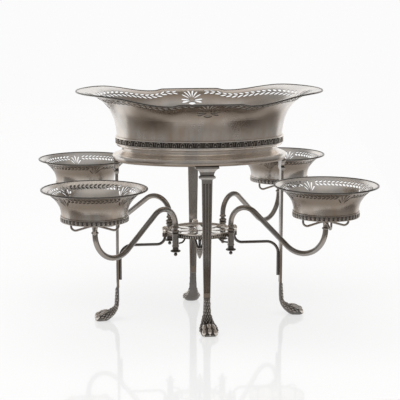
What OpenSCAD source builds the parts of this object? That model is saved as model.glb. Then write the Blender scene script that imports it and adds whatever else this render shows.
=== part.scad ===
// Epergne: an oval stand on four paw feet, with four swivelling arms and five pierced baskets that lift off.
// Millimetres, +Z up. The origin is on the floor under the middle of the stand, and +X runs along the oval.

/* [Oval ring] */
// Height of the ring's underside above the floor
ring_bottom = 217; // [205:1:230]
// Half length of the ring over its widest bead
ring_r = 116; // [110:1:122]
// Half width of the ring over its widest bead
ring_b = 78; // [76:1:84]
// Height of the ring
ring_h = 15; // [13:0.5:18]

/* [Legs] */
// Width of a leg below its capital
leg_top_w = 14; // [12:0.5:17]
// Width of a leg above its paw
leg_ankle_w = 8.8; // [7.5:0.1:11]
// Thickness of a leg
leg_t = 3.2; // [2.5:0.1:4]
// Height of a capital
cap_h = 17; // [14:0.5:20]
// Width of a capital at its top
cap_w = 30.8; // [26:0.2:34]
// Height of the paw casting, furred ankle included
paw_top = 45; // [40:0.5:50]
// Width of a paw across its toes
paw_w = 23; // [19:0.5:26]
// Reach of a paw beyond the face of its leg
paw_reach = 30; // [25:0.5:34]

/* [Plate and braces] */
// Radius of the plate's edge
plate_r = 45; // [42:0.5:46]
// Height of the plate's top edge above the floor
plate_top = 122.5; // [115:0.5:130]
// Depth of the plate's edge band
plate_h = 6.5; // [5:0.5:8]
// Diameter of a brace rod
brace_d = 3.8; // [3:0.1:4.5]
// Bend radius of a brace rod below its lug
brace_bend = 10.5; // [7:0.5:11]
// Bend radius of a brace rod beside its leg, where there is room for it
brace_sweep = 16; // [8:0.5:18]
// Height of a brace rod's lower end above the floor
brace_foot_z = 55; // [50:1:75]
// Diameter of a stay
stay_d = 2.4; // [2:0.1:3]
// Length of the pendant finial
pendant_h = 35; // [30:1:40]

/* [Sockets and arms] */
// Gap between the plate's edge and a socket tube, bridged by a lug
socket_gap = 2.8; // [1:0.1:4]
// Outer diameter of a socket tube
socket_d = 8.4; // [8:0.1:9]
// Height of a socket tube
socket_h = 18.5; // [18:0.5:22]
// Diameter of an arm's spigot
spigot_d = 5; // [4:0.1:5.5]
// Horizontal distance from a socket to the basket on its arm
arm_reach = 146; // [142:1:152]
// Diameter of an arm
arm_d = 7; // [6:0.1:7.5]
// Straight rise of an arm between its collar and its arch
arm_rise = 1; // [1:0.1:6]
// Bend radius of the arch
arch_r = 24; // [22:0.5:26]
// Bend radius of the bow
bow_r = 36; // [33:0.5:38]
// Height of a holder's cup
cup_h = 11.5; // [10:0.5:13]
// Diameter of a holder's prong
prong_d = 2.8; // [2:0.1:3.2]
// Distance of a prong's upright end from the middle of its basket
prong_r = 29; // [26:0.5:33]
// Turn of the back right arm from its diagonal, as the arms stand
turn_back_right = 2.5; // [-5:0.5:5]
// Turn of the back left arm from its diagonal
turn_back_left = 4; // [-5:0.5:5]
// Turn of the front left arm from its diagonal
turn_front_left = -4; // [-5:0.5:5]
// Turn of the front right arm from its diagonal
turn_front_right = 0.5; // [-5:0.5:5]
// Turn of the back right basket on its holder, as the baskets stand
basket_turn_back_right = 15; // [-45:1:45]
// Turn of the back left basket on its holder
basket_turn_back_left = -36; // [-45:1:45]
// Turn of the front left basket on its holder
basket_turn_front_left = 0; // [-45:1:45]
// Turn of the front right basket on its holder
basket_turn_front_right = -33; // [-45:1:45]

/* [Small baskets] */
// Height of a small basket's foot above the cup of its holder
small_rise = 5; // [4:0.5:7]
// Radius of the foot band
small_foot_r = 42; // [40:0.5:44]
// Height of the foot band
small_foot_h = 7.2; // [6:0.2:8]
// Height of the bowl below its border
small_bowl_h = 21; // [18:0.5:23]
// Height of the whole basket
small_h = 38.5; // [36:0.5:41]
// Radius of the border's edge
small_lip_r = 63.5; // [61:0.5:66]
// Thickness of the silver sheet of a small basket
small_sheet_t = 0.8; // [0.7:0.1:1.2]

/* [Main basket] */
// Height of the main basket's foot below its ornament band
main_neck_h = 7.5; // [6.5:0.5:9]
// Height of the ornament band
main_band_h = 10; // [8:0.5:11]
// Height of the bowl's top above the ring
main_bowl_top = 43; // [40:1:48]
// Height of the flared border
main_flare_h = 31; // [27:1:35]
// Half length of the border's edge
main_lip_r = 161.5; // [152:1:168]
// Half width of the border's edge
main_lip_b = 114; // [106:1:120]
// Rise of the edge at the two ends
main_end_rise = 2; // [1:0.5:5]
// Fall of the edge on both sides of each middle arch
main_dip = 8.5; // [5:0.5:11]
// Height of the middle arches over those dips
main_arch = 2.1; // [1.5:0.1:4]
// Thickness of the silver sheet of the main basket
main_sheet_t = 1; // [0.8:0.1:1.4]

/* [Fits] */
// Running clearance of a spigot or pin in its bore, on the radius
run_gap = 0.05; // [0.03:0.01:0.1]
// Gap under a piece that lifts off its seat
seat_gap = 0.2; // [0.1:0.05:0.3]
// Gap at a soldered seam on a curved face
seam_gap = 0.1; // [0.05:0.05:0.15]
// Radius of the rim wires
wire_r = 1.1; // [0.9:0.1:1.4]

/* [Hidden] */
$fn = 72;
silver = [0.75, 0.73, 0.70];
dark_silver = [0.45, 0.42, 0.39];

sides = ["right", "back", "left", "front"];
corners = ["back_right", "back_left", "front_left", "front_right"];

// The oval is two end arcs and two side arcs that meet without a corner.
// The middles of an end arc and a side arc are two corners of a triangle with sides 3, 4 and 5.
end_centre = 1.5 * (ring_r - ring_b);
side_centre = 2 * (ring_r - ring_b);
end_arc_r = ring_r - end_centre;
side_arc_r = ring_b + side_centre;
oval_meet = atan2(4, 3);
// Share of a quarter's steps that falls on its end arc
end_share = 0.4;
oval_steps = 80;

// Ring
ring_top = ring_bottom + ring_h;
// How far the edge of its underside lies inside its widest bead
ring_edge = 3;
ring_top_r = ring_r - 12.4;
ring_bore_r = ring_r - 16;

// Legs: the outer face of each leg stands just inside the edge of the ring's underside
leg_inset = 0.5;
leg_face = [for (i = [0 : 3]) (i % 2 == 0 ? ring_r : ring_b) - ring_edge - leg_inset];
cap_bottom = ring_bottom - cap_h;
cap_proud = 2.2;

// Plate, its lugs and the brace rods
plate_bottom = plate_top - plate_h;
plate_edge_w = 3;
spoke_bottom = plate_top - 3.6;
spoke_t = 1.8;
hub_r = 8;
lug_r = plate_r + 2;
lug_d = 7.2;
lug_bottom = plate_bottom - 3.5;
brace_end_r = [for (f = leg_face) f - leg_t - brace_d / 2 - seam_gap];
brace_run_z = lug_bottom - brace_bend;

// Sockets and stays
socket_r = plate_r + socket_d / 2 + socket_gap;
socket_bottom = plate_bottom - 10;
socket_top = socket_bottom + socket_h;
socket_bore_d = spigot_d + 2 * run_gap;
stay_z = socket_bottom + 2;
stay_bend = 9;
stay_end_r = 0.69 * plate_r;

// Arms
collar_bottom = socket_top + seat_gap;
collar_h = 9.3;
arm_turn = [turn_back_right, turn_back_left, turn_front_left, turn_front_right];
basket_turn = [basket_turn_back_right, basket_turn_back_left, basket_turn_front_left, basket_turn_front_right];
// The straight between arch and bow falls 3 for each 4 that it runs out
arm_slope = atan2(3, 4);
arch_start = collar_bottom + collar_h + arm_rise;
slope_len = (arm_reach - (arch_r + bow_r) * (1 + sin(arm_slope))) / cos(arm_slope);
arm_top = arch_start + (arch_r + bow_r) * cos(arm_slope) - slope_len * sin(arm_slope);
pin_d = 4;
pin_h = 5;
nut_top = socket_bottom - seat_gap;
spigot_bottom = nut_top - 3;

// Small baskets: the border is one round sweep that leaves the bowl at the angle flare_start
small_z = arm_top + cup_h + small_rise;
small_wall_r = small_foot_r - 1.3;
small_top_r = small_wall_r + 3.5;
small_floor_z = 2;
flare_start = 68;
small_root = [small_top_r, small_bowl_h];
small_lip = [small_lip_r, small_h];
small_chord = small_lip - small_root;
flare_r = norm(small_chord) / (2 * sin(flare_start - atan2(small_chord[1], small_chord[0])));
flare_centre = small_root + flare_r * [sin(flare_start), -cos(flare_start)];

// Main basket
neck_r = ring_top_r;
band_r = ring_r - 3.8;
main_wall_r = band_r - 2.2;
main_top_r = main_wall_r + 5;
main_floor_z = ring_top + main_neck_h + 0.5;
main_band_bottom = ring_top + main_neck_h;
main_band_top = main_band_bottom + main_band_h;
main_border_z = ring_top + main_bowl_top;
main_lip_z = main_border_z + main_flare_h;
main_corner_r = 4;
main_flare = [[main_top_r, main_border_z],
    [main_top_r + 3, main_border_z + 0.52 * main_flare_h],
    [main_top_r + 0.44 * (main_lip_r - main_top_r), main_lip_z - 3],
    [main_lip_r, main_lip_z]];
main_flare_side = (main_lip_b - ring_b - main_top_r + ring_r) / (main_lip_r - main_top_r);

// Curves and sheets

function mix(a, b, s) = a + (b - a) * s;

function smooth(s) = let (k = min(1, max(0, s))) k * k * (3 - 2 * k);

function bezier_at(p, s) =
    pow(1 - s, 3) * p[0] + 3 * pow(1 - s, 2) * s * p[1] + 3 * (1 - s) * s * s * p[2] + pow(s, 3) * p[3];

function bezier(p, steps) = [for (i = [0 : steps]) bezier_at(p, i / steps)];

function arc(centre, r, from, to, steps) =
    [for (i = [0 : steps]) let (a = mix(from, to, i / steps)) centre + r * [cos(a), sin(a)]];

function left_of(p, i) =
    let (d = p[min(i + 1, len(p) - 1)] - p[max(i - 1, 0)]) [-d[1], d[0]] / norm(d);

// Where the far face of a sheet of thickness t lies beside point i of a line, on its left.
// At the end called level the sheet is cut off level, where it is soldered to the next one.
function beside(p, i, t, level) =
    let (n = left_of(p, i)) i == level ? p[i] + [t / n[0], 0] : p[i] + t * n;

// Outline of a sheet of thickness t on the left of an open line
function sheet(p, t, level) = concat(p, [for (i = [len(p) - 1 : -1 : 0]) beside(p, i, t, level)]);

// A bend of a round rod, from +X on to the left, about a middle at [0, bend]; it turns 90 degrees or more
module rod_bend(d, bend, turn) {
    far = 2 * (bend + d);
    translate([0, bend, 0]) rotate(-90) intersection() {
        rotate_extrude() translate([bend, 0]) circle(d = d);
        linear_extrude(2 * d, center = true)
            polygon([[0, 0], [far, 0], [far, far], 2 * far * [cos(turn), sin(turn)]]);
    }
}

// A round rod drawn step by step in the XY plane: each step is [straight length, bend radius, turn left]
module bent_rod(d, steps, i = 0) {
    run = steps[i][0];
    bend = steps[i][1];
    turn = steps[i][2];
    if (run > 0) rotate([0, 90, 0]) cylinder(d = d, h = run);
    translate([run, 0, 0]) {
        if (bend > 0) mirror([0, turn < 0 ? 1 : 0, 0]) rod_bend(d, bend, abs(turn));
        if (i + 1 < len(steps))
            translate([0, sign(turn) * bend, 0]) rotate(turn) translate([0, -sign(turn) * bend, 0])
                bent_rod(d, steps, i + 1);
    }
}

// The same rod in an upright plane, starting at [distance out, height]
module upright_rod(d, start, heading, steps)
    rotate([90, 0, 0]) translate(start) rotate(heading) bent_rod(d, steps);

// Places

// Angle of the oval's outward normal after q quarters, counted from +X
function oval_turn(q) =
    let (k = floor(q), g = k % 2 == 0 ? q - k : 1 - (q - k),
        n = g < end_share ? oval_meet * g / end_share : mix(oval_meet, 90, (g - end_share) / (1 - end_share)))
    k % 2 == 0 ? 90 * k + n : 90 * (k + 1) - n;

// Place on the oval with its normal at angle n, d outside the ring's widest line
function oval_place(n, d) =
    abs(sin(n)) < sin(oval_meet)
    ? [sign(cos(n)) * end_centre, 0] + (end_arc_r + d) * [cos(n), sin(n)]
    : [0, -sign(sin(n)) * side_centre] + (side_arc_r + d) * [cos(n), sin(n)];

// A whole turn of an outline that is drawn at the end of the oval, about a middle that lies at x = shift
module oval_turned(shift)
    rotate_extrude() intersection() {
        translate([-shift, 0]) children();
        square([2 * main_lip_r, 2 * main_lip_z]);
    }

// The oval solid that an outline fills: its x is the half length of the oval, and it is closed at the middle.
// The turned ends reach a little way into the sides, where they lie inside them.
module oval_solid() {
    far = 100;
    inside = 10;
    end_ray = [end_centre + 3 * far, 4 * far];
    for (half = [0, 180])
        rotate(half) {
            translate([end_centre, 0, 0]) oval_turned(end_centre) children();
            intersection() {
                translate([0, -side_centre, 0]) oval_turned(ring_r - side_arc_r) children();
                linear_extrude(2 * main_lip_z)
                    polygon([[end_centre, -inside], [end_centre, 0], end_ray, [-end_ray[0], end_ray[1]],
                        [-end_centre, 0], [-end_centre, -inside]]);
            }
        }
}

module at_side(i) rotate(90 * i) translate([leg_face[i], 0, 0]) children();

module at_corner(i) rotate(45 + 90 * i) children();

module at_socket(i) at_corner(i) translate([socket_r, 0, 0]) children();

module at_arm(i) at_socket(i) rotate(arm_turn[i]) children();

module at_holder(i) at_arm(i) translate([arm_reach, 0, 0]) children();

module at_small_basket(i) at_holder(i) translate([0, 0, small_z]) rotate(basket_turn[i]) children();

// Stand

module stand_ring() {
    bead = ring_bottom + 0.44 * ring_h;
    cove = ring_bottom + 0.68 * ring_h;
    color(silver) difference() {
        oval_solid() polygon(concat(
            [[0, ring_bottom]],
            bezier([[ring_r - ring_edge, ring_bottom], [ring_r - 1, ring_bottom + 1],
                [ring_r, mix(ring_bottom, bead, 0.5)], [ring_r, bead]], 6),
            bezier([[ring_r - 0.1, bead + 0.4], [ring_r - 0.5, cove], [ring_top_r + 2.5, cove],
                [ring_top_r, ring_top - 0.6]], 8),
            [[ring_top_r, ring_top], [0, ring_top]]));
        oval_solid() polygon([[0, ring_bottom - 1], [ring_bore_r, ring_bottom - 1],
            [ring_bore_r, ring_top + 1], [0, ring_top + 1]]);
    }
}

// Outline across a flat capital, from its neck up: [half width, height] as shares of the top's
cap_outline = [[0.48, 0], [0.54, 0.08], [0.68, 0.11], [0.71, 0.19], [0.68, 0.27], [0.57, 0.31], [0.59, 0.46],
    [0.67, 0.63], [0.80, 0.77], [0.93, 0.84], [1, 0.86], [1, 1]];
// Outline of its face, from its neck up: [share of its depth in front of the leg, share of its height]
cap_face = [[0.1, 0], [0.7, 0.09], [0.9, 0.19], [0.7, 0.29], [0.2, 0.33], [0.3, 0.6], [0.8, 0.82], [1, 0.86],
    [1, 1]];

module capital() {
    right_half = [for (p = cap_outline) [p[0] * cap_w / 2, p[1] * cap_h]];
    left_half = [for (i = [len(right_half) - 1 : -1 : 0]) [-right_half[i][0], right_half[i][1]]];
    face = [for (p = cap_face) [p[0] * cap_proud, p[1] * cap_h]];
    back = -leg_t - 0.8;
    color(silver) translate([0, 0, cap_bottom]) intersection() {
        translate([back, 0, 0]) rotate([90, 0, 90]) linear_extrude(cap_proud - back)
            polygon(concat(right_half, left_half));
        translate([0, cap_w, 0]) rotate([90, 0, 0]) linear_extrude(2 * cap_w)
            polygon(concat([[back, 0]], face, [[back, cap_h]]));
    }
}

flute_r = 1.3;
flute_bottom = paw_top + 6;
flute_top = cap_bottom - 5;

module leg() {
    top_pitch = leg_top_w * 0.29;
    foot_pitch = leg_ankle_w * 0.29;
    color(silver) difference() {
        translate([-leg_t, 0, 0]) rotate([90, 0, 90]) linear_extrude(leg_t)
            polygon([[-leg_ankle_w / 2, paw_top], [leg_ankle_w / 2, paw_top],
                [leg_top_w / 2, cap_bottom], [-leg_top_w / 2, cap_bottom]]);
        for (k = [-1 : 1])
            translate([0.62 * flute_r, k * foot_pitch, flute_bottom])
                rotate([-atan2(k * (top_pitch - foot_pitch), flute_top - flute_bottom), 0, 0])
                    cylinder(r = flute_r, h = flute_top - flute_bottom, $fn = 32);
    }
}

// A paw is a row of rounded sections from the ankle to the toes: [heel point, instep point, half width],
// as shares of its reach, height and width. The heel is raised, so the paw stands on its toes.
paw_rows = [[[-0.11, 1], [0, 1], 0.19], [[-0.11, 0.8], [0.01, 0.81], 0.2],
    [[-0.11, 0.6], [0.03, 0.63], 0.22], [[-0.09, 0.43], [0.06, 0.48], 0.24],
    [[-0.03, 0.3], [0.13, 0.38], 0.29], [[0.08, 0.18], [0.23, 0.33], 0.36],
    [[0.21, 0.09], [0.38, 0.31], 0.43], [[0.34, 0.02], [0.53, 0.3], 0.49],
    [[0.47, -0.03], [0.68, 0.28], 0.5], [[0.63, -0.04], [0.82, 0.24], 0.49],
    [[0.77, -0.04], [0.93, 0.16], 0.45], [[0.85, -0.02], [1, 0.07], 0.37]];
// Depth of the grooves between the toes, row by row, as a share of the section
toe_groove = [0, 0, 0, 0.02, 0.06, 0.12, 0.18, 0.24, 0.28, 0.32, 0.34, 0.34];
// Distance from toe to toe, as a share of the half width
toe_pitch = 0.57;
paw_steps = 26;

// One point of a paw: the upper side has toes and grooves, the sole is plain, and the top fits the leg
function paw_point(row, k) =
    let (across = cos(360 * k / paw_steps), up = sin(360 * k / paw_steps),
        toe = sqrt(abs(cos(180 * across / toe_pitch))),
        grow = up > 0 ? 1 - toe_groove[row] * (1 - toe) : 1,
        p = mix(paw_rows[row][0], paw_rows[row][1], 0.5 + 0.5 * up * grow))
    row == 0
    ? [mix(-leg_t, 0, 0.5 + 0.5 * up), across * leg_ankle_w / 2, paw_top]
    : [p[0] * paw_reach, across * paw_rows[row][2] * paw_w, p[1] * paw_top];

module paw() {
    rows = len(paw_rows);
    points = [for (row = [0 : rows - 1], k = [0 : paw_steps - 1]) paw_point(row, k)];
    walls = [for (row = [0 : rows - 2], k = [0 : paw_steps - 1])
        let (a = row * paw_steps + k, b = row * paw_steps + (k + 1) % paw_steps)
        each [[a, b, a + paw_steps], [b, b + paw_steps, a + paw_steps]]];
    top = [[for (k = [paw_steps - 1 : -1 : 0]) k]];
    toe_tip = [[for (k = [0 : paw_steps - 1]) (rows - 1) * paw_steps + k]];
    color(silver) difference() {
        polyhedron(points, concat(top, walls, toe_tip), convexity = 4);
        translate([-paw_reach, -paw_w, -paw_top]) cube([3 * paw_reach, 2 * paw_w, paw_top]);
    }
}

// A leaf with two pointed ends, along X
module leaf(length, width) {
    r = (length * length + width * width) / (4 * width);
    intersection() {
        translate([0, r - width / 2]) circle(r = r);
        translate([0, width / 2 - r]) circle(r = r);
    }
}

module centre_plate() {
    edge_in = plate_r - plate_edge_w;
    color(silver) {
        rotate_extrude() polygon(concat(
            [[edge_in, plate_bottom], [plate_r - 0.8, plate_bottom]],
            arc([plate_r - 0.9, plate_bottom + 1], 0.9, -80, 80, 5),
            arc([plate_r - 0.9, plate_top - 1], 0.9, -80, 80, 5),
            [[plate_r - 0.8, plate_top], [edge_in, plate_top]]));
        translate([0, 0, spoke_bottom]) linear_extrude(spoke_t) {
            difference() {
                circle(r = edge_in + 0.5);
                circle(r = edge_in - 4);
            }
            circle(r = hub_r);
            for (k = [0 : 7])
                rotate(45 * k) translate([(hub_r + edge_in) / 2 - 2.5, 0]) leaf(edge_in - hub_r + 4, 10);
        }
        translate([0, 0, plate_bottom]) cylinder(r = hub_r - 1, h = plate_h - 1);
        for (i = [0 : 3])
            rotate(90 * i) translate([lug_r, 0, lug_bottom]) {
                cylinder(d = lug_d, h = plate_top - lug_bottom);
                translate([0, 0, plate_top - lug_bottom]) sphere(d = lug_d + 1.2, $fn = 48);
            }
    }
}

module pendant_finial() {
    strut_d = 2.6;
    strut_out = 5.8;
    knee_z = plate_bottom - 0.25 * pendant_h;
    cone_top = plate_bottom - 0.56 * pendant_h;
    cone_h = 0.4 * pendant_h;
    tip = plate_bottom - pendant_h;
    // Below its knee a strut leans in by 7 for each 24 that it falls
    lean = atan2(7, 24);
    lower_h = (knee_z - cone_top + 1) / cos(lean);
    color(silver) {
        rotate_extrude() polygon(concat(
            [[0, cone_top], [2.8, cone_top]],
            bezier([[3.4, cone_top - 0.4], [5, cone_top - 0.15 * cone_h], [3.4, cone_top - 0.7 * cone_h],
                [0.9, cone_top - cone_h]], 10),
            [[1.4, mix(tip, cone_top - cone_h, 0.6)], [0.8, tip], [0, tip]]));
        for (k = [0 : 3])
            rotate(90 * k) translate([strut_out, 0, 0]) {
                translate([0, 0, knee_z]) cylinder(d = strut_d, h = plate_bottom - knee_z, $fn = 32);
                translate([0, 0, knee_z]) sphere(d = strut_d + 0.4, $fn = 32);
                translate([0, 0, knee_z]) rotate([0, 180 + lean, 0])
                    cylinder(d = strut_d, h = lower_h, $fn = 32);
            }
    }
}

module brace(i) {
    span = brace_end_r[i] - lug_r;
    sweep = min(brace_sweep, span - brace_bend);
    color(silver) rotate(90 * i)
        upright_rod(brace_d, [lug_r, lug_bottom], -90,
            [[0, brace_bend, 90], [span - brace_bend - sweep, sweep, -90],
                [brace_run_z - sweep - brace_foot_z, 0, 0]]);
}

module socket() {
    tube_r = socket_d / 2;
    bore_r = socket_bore_d / 2;
    collar_r = tube_r + 0.9;
    color(silver) {
        rotate_extrude() polygon([[bore_r, socket_bottom], [tube_r + 0.5, socket_bottom],
            [tube_r + 0.5, socket_bottom + 1.5], [tube_r, socket_bottom + 2.2], [tube_r, socket_top - 3],
            [collar_r, socket_top - 2.2], [collar_r, socket_top - 0.8], [tube_r, socket_top],
            [bore_r, socket_top]]);
        difference() {
            translate([plate_r - socket_r - 2, -2.2, plate_bottom + 1])
                cube([socket_r - plate_r + 2 - bore_r - 0.6, 4.4, plate_h - 2]);
            translate([-socket_r, 0, 0]) cylinder(r = plate_r + seam_gap, h = plate_top + 10, $fn = 144);
        }
    }
}

module socket_stay() {
    start = [socket_r - socket_d / 2 - seam_gap, stay_z + stay_d / 2];
    color(silver)
        upright_rod(stay_d, start, 180,
            [[start[0] - stay_bend - stay_end_r, stay_bend, -90],
                [spoke_bottom - start[1] - stay_bend, 0, 0]]);
}

// Arms

module arm() {
    knop_r = arm_d / 2 + 1.7;
    waist_r = arm_d / 2 - 0.7;
    bead_r = arm_d / 2 + 1;
    z = collar_bottom;
    tube_start = z + collar_h - 2.2;
    color(silver) {
        translate([0, 0, spigot_bottom]) cylinder(d = spigot_d, h = z + 1 - spigot_bottom);
        rotate_extrude() polygon([[0, z], [knop_r - 1.2, z], [knop_r, z + 1], [knop_r, z + 2.6],
            [knop_r - 1.2, z + 3.6], [waist_r, z + 4.4], [waist_r, z + 5.8], [bead_r, z + 6.4],
            [bead_r, z + 7.8], [arm_d / 2 - 0.3, z + collar_h], [0, z + collar_h]]);
        upright_rod(arm_d, [0, tube_start], 90,
            [[arch_start - tube_start, arch_r, -90 - arm_slope], [slope_len, bow_r, 90 + arm_slope]]);
        translate([arm_reach, 0, arm_top - 1]) cylinder(d = pin_d, h = pin_h + 1);
    }
}

module finial_nut() {
    bore_r = spigot_d / 2 + run_gap;
    hole_end = spigot_bottom - 0.5;
    ball_r = 2.4;
    neck_end = hole_end - 5;
    color(silver) {
        rotate_extrude() polygon([[0, neck_end], [1.4, neck_end], [1.4, hole_end - 3.6], [2.2, hole_end - 3.1],
            [6.2, hole_end - 3], [6.9, hole_end - 2.2], [6.2, hole_end - 1.2], [4.2, hole_end - 0.6],
            [3.9, nut_top], [bore_r, nut_top], [bore_r, hole_end], [0, hole_end]]);
        translate([0, 0, neck_end - 0.7 * ball_r]) sphere(r = ball_r, $fn = 32);
    }
}

module holder() {
    base = arm_top;
    bore_r = pin_d / 2 + run_gap;
    cup_r = 6.8;
    prong_z = base + cup_h - 1.5;
    // A prong falls 7 for each 24 that it runs out
    prong_dip = atan2(7, 24);
    prong_bend = 5.5;
    prong_start = 2.5;
    prong_run = (prong_r - prong_start - prong_bend * (1 + sin(prong_dip))) / cos(prong_dip);
    bend_end_z = prong_z - prong_run * sin(prong_dip) + prong_bend * cos(prong_dip);
    prong_top = small_z + small_floor_z - seat_gap;
    color(silver) {
        rotate_extrude() polygon(concat(
            [[bore_r, base], [4.4, base], [4.8, base + 0.8], [4.4, base + 1.8], [3.2, base + 2.6]],
            bezier([[3.2, base + 3.4], [3.1, base + 7], [4, base + 0.75 * cup_h],
                [cup_r, base + cup_h - 0.8]], 6),
            [[cup_r, base + cup_h], [0, base + cup_h], [0, base + pin_h + 0.3], [bore_r, base + pin_h + 0.3]]));
        for (k = [0 : 3])
            rotate(45 + 90 * k)
                upright_rod(prong_d, [prong_start, prong_z], -prong_dip,
                    [[prong_run, prong_bend, 90 + prong_dip], [prong_top - bend_end_z, 0, 0]]);
    }
}

// Small baskets: their own origin is in the middle of the foot's underside

module small_foot() {
    r = small_foot_r;
    h = small_foot_h;
    inner = small_wall_r + seam_gap;
    color(dark_silver) rotate_extrude() polygon([[inner, 0], [r - 0.3, 0], [r, 0.4], [r, 1.2], [r - 0.6, 1.5],
        [r - 0.6, h - 1.5], [r, h - 1.2], [r, h - 0.4], [r - 0.3, h], [inner, h]]);
}

module small_bowl() {
    corner_r = 2.5;
    line = concat(
        [[0, small_floor_z], [small_wall_r - corner_r - 0.5, small_floor_z]],
        arc([small_wall_r - corner_r, small_floor_z + corner_r], corner_r, -75, 0, 5),
        bezier([[small_wall_r, small_foot_h], [small_wall_r + 0.4, mix(small_foot_h, small_bowl_h, 0.4)],
            [small_wall_r + 1.4, mix(small_foot_h, small_bowl_h, 0.75)], [small_top_r, small_bowl_h]], 8));
    color(silver) rotate_extrude() polygon(sheet(line, small_sheet_t, len(line) - 1));
}

palmette_slots = 5;
palmette_turn = 52;
outer_petal = 0.7;

// Slots of a fan-shaped palmette, opening along X from its root at the origin
module palmette(length, width) {
    for (k = [0 : palmette_slots - 1]) {
        turn = mix(-palmette_turn, palmette_turn, k / (palmette_slots - 1));
        reach = length * mix(1, outer_petal, pow(turn / palmette_turn, 2));
        rotate(turn) translate([mix(0.28, 1, 0.5) * reach, 0]) leaf(0.72 * reach, width);
    }
}

leaf_turn_out = 32;

// A pair of slots that open along X like two laurel leaves
module leaf_pair(length, width)
    for (s = [-1, 1])
        rotate(leaf_turn_out * s) translate([0.55 * length, 0]) leaf(length, width);

// Section of the border: a round sweep from the bowl's level edge to the lip
module small_border_section() {
    to_lip = (small_lip - flare_centre) / flare_r;
    intersection() {
        translate(flare_centre) difference() {
            circle(r = flare_r + small_sheet_t);
            circle(r = flare_r);
        }
        polygon([flare_centre + (flare_r - 2) * to_lip, flare_centre + (flare_r + 3) * to_lip,
            [small_top_r - 6, small_h + 3], [small_top_r - 6, small_bowl_h],
            [small_top_r + 2, small_bowl_h]]);
    }
}

module small_border() {
    cut_h = small_h + 10;
    flare_run = small_lip_r - small_top_r;
    chain_r = small_top_r + 0.52 * flare_run;
    petal_l = 0.7 * flare_run;
    pairs = 10;
    web = 1.2;
    margin = asin((petal_l * outer_petal * sin(palmette_turn) + web) / chain_r);
    pitch = (90 - 2 * margin) / pairs;
    leaf_l = 0.95 * chain_r * sin(pitch) / cos(leaf_turn_out);
    color(silver) difference() {
        rotate_extrude() small_border_section();
        linear_extrude(cut_h)
            for (k = [0 : 3]) {
                rotate(90 * k) translate([small_top_r + 0.5, 0]) palmette(petal_l, 0.16 * petal_l);
                for (j = [0 : pairs - 1])
                    rotate(90 * k - margin - j * pitch) translate([chain_r, 0]) rotate(-90)
                        leaf_pair(leaf_l, 0.38 * leaf_l);
            }
    }
}

module small_rim() {
    wire_place = [small_lip_r + wire_r + seam_gap, small_h + small_sheet_t / 2];
    color(silver) rotate_extrude() translate(wire_place) circle(r = wire_r, $fn = 32);
}

// Main basket

module main_foot() {
    seat = ring_top + seat_gap;
    inner = main_wall_r + seam_gap;
    ledge = main_floor_z - seam_gap;
    plug_r = ring_bore_r - 0.6;
    plug_in = ring_bore_r - 6;
    plug_bottom = seat - 4;
    low = main_band_bottom;
    high = main_band_top;
    fillet = low - 3.8;
    color(silver) difference() {
        oval_solid() polygon(concat(
            [[0, plug_bottom], [plug_r, plug_bottom], [plug_r, seat], [neck_r, seat]],
            bezier([[neck_r, seat + 0.4], [neck_r, mix(seat, fillet, 0.6)], [neck_r + 0.4, fillet],
                [neck_r + 2, fillet]], 4),
            bezier([[band_r - 5.8, fillet + 0.2], [band_r - 3.2, fillet], [band_r - 1.2, low - 2],
                [band_r - 1.2, low]], 5),
            [[band_r, low + 0.3], [band_r, low + 1.1], [band_r - 0.9, low + 1.4], [band_r - 0.9, high - 2.2],
                [band_r, high - 1.9], [band_r, high - 0.4], [band_r - 0.6, high], [0, high]]));
        oval_solid() polygon(concat(
            [[0, plug_bottom - 1], [plug_in, plug_bottom - 1], [plug_in, ledge]],
            arc([inner - main_corner_r, ledge + main_corner_r], main_corner_r, -90, 0, 6),
            [[inner, high + 1], [0, high + 1]]));
    }
}

module main_bowl() {
    line = concat(
        [[0, main_floor_z], [main_wall_r - main_corner_r - 1, main_floor_z]],
        arc([main_wall_r - main_corner_r, main_floor_z + main_corner_r], main_corner_r, -85, 0, 6),
        bezier([[main_wall_r, main_band_top], [main_wall_r + 0.6, mix(main_band_top, main_border_z, 0.4)],
            [main_wall_r + 2.5, mix(main_band_top, main_border_z, 0.75)], [main_top_r, main_border_z]], 8));
    last = len(line) - 1;
    inside = [for (i = [0 : last]) beside(line, i, main_sheet_t, last)];
    color(silver) difference() {
        oval_solid() polygon(concat(line, [[0, main_border_z]]));
        oval_solid() polygon(concat(inside, [inside[last] + [0, 1], [0, main_border_z + 1]]));
    }
}

// How far along the oval the place with its normal at angle n lies: 0 at the middle of a side, 1 at an end
function toward_end(n) = abs(oval_place(n, 0)[0]) / ring_r;

// Height of the waved edge above the middle height
function edge_wave(n) =
    let (c = toward_end(n))
    mix(-main_dip, main_end_rise, smooth((c - 0.37) / 0.52)) + main_arch * (1 - smooth((c - 0.26) / 0.08));

// Distance of a point of the border outside the ring's widest line: the border reaches out less at the sides
function border_out(n, r) =
    main_top_r - ring_r + (r - main_top_r) * mix(main_flare_side, 1, smooth(toward_end(n)));

// A point of the border's section at the oval's end, moved to angle n and raised with the wave,
// which grows from nothing at the bowl to full at the edge
function waved(p, n) =
    let (share = min(1, max(0, (p[1] - main_border_z) / main_flare_h)),
        place = oval_place(n, border_out(n, p[0])))
    [place[0], place[1], p[1] + share * edge_wave(n)];

// Faces of a closed ring of sections with the same number of points each
function ring_faces(sections, points) =
    [for (i = [0 : sections - 1], k = [0 : points - 1])
        let (next = (i + 1) % sections, up = (k + 1) % points)
        each [[i * points + k, i * points + up, next * points + up],
            [i * points + k, next * points + up, next * points + k]]];

// The place on the border with its normal at angle n and at share s of the flare, seen from above
function border_place(n, s) = oval_place(n, border_out(n, bezier_at(main_flare, s)[0]));

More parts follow.
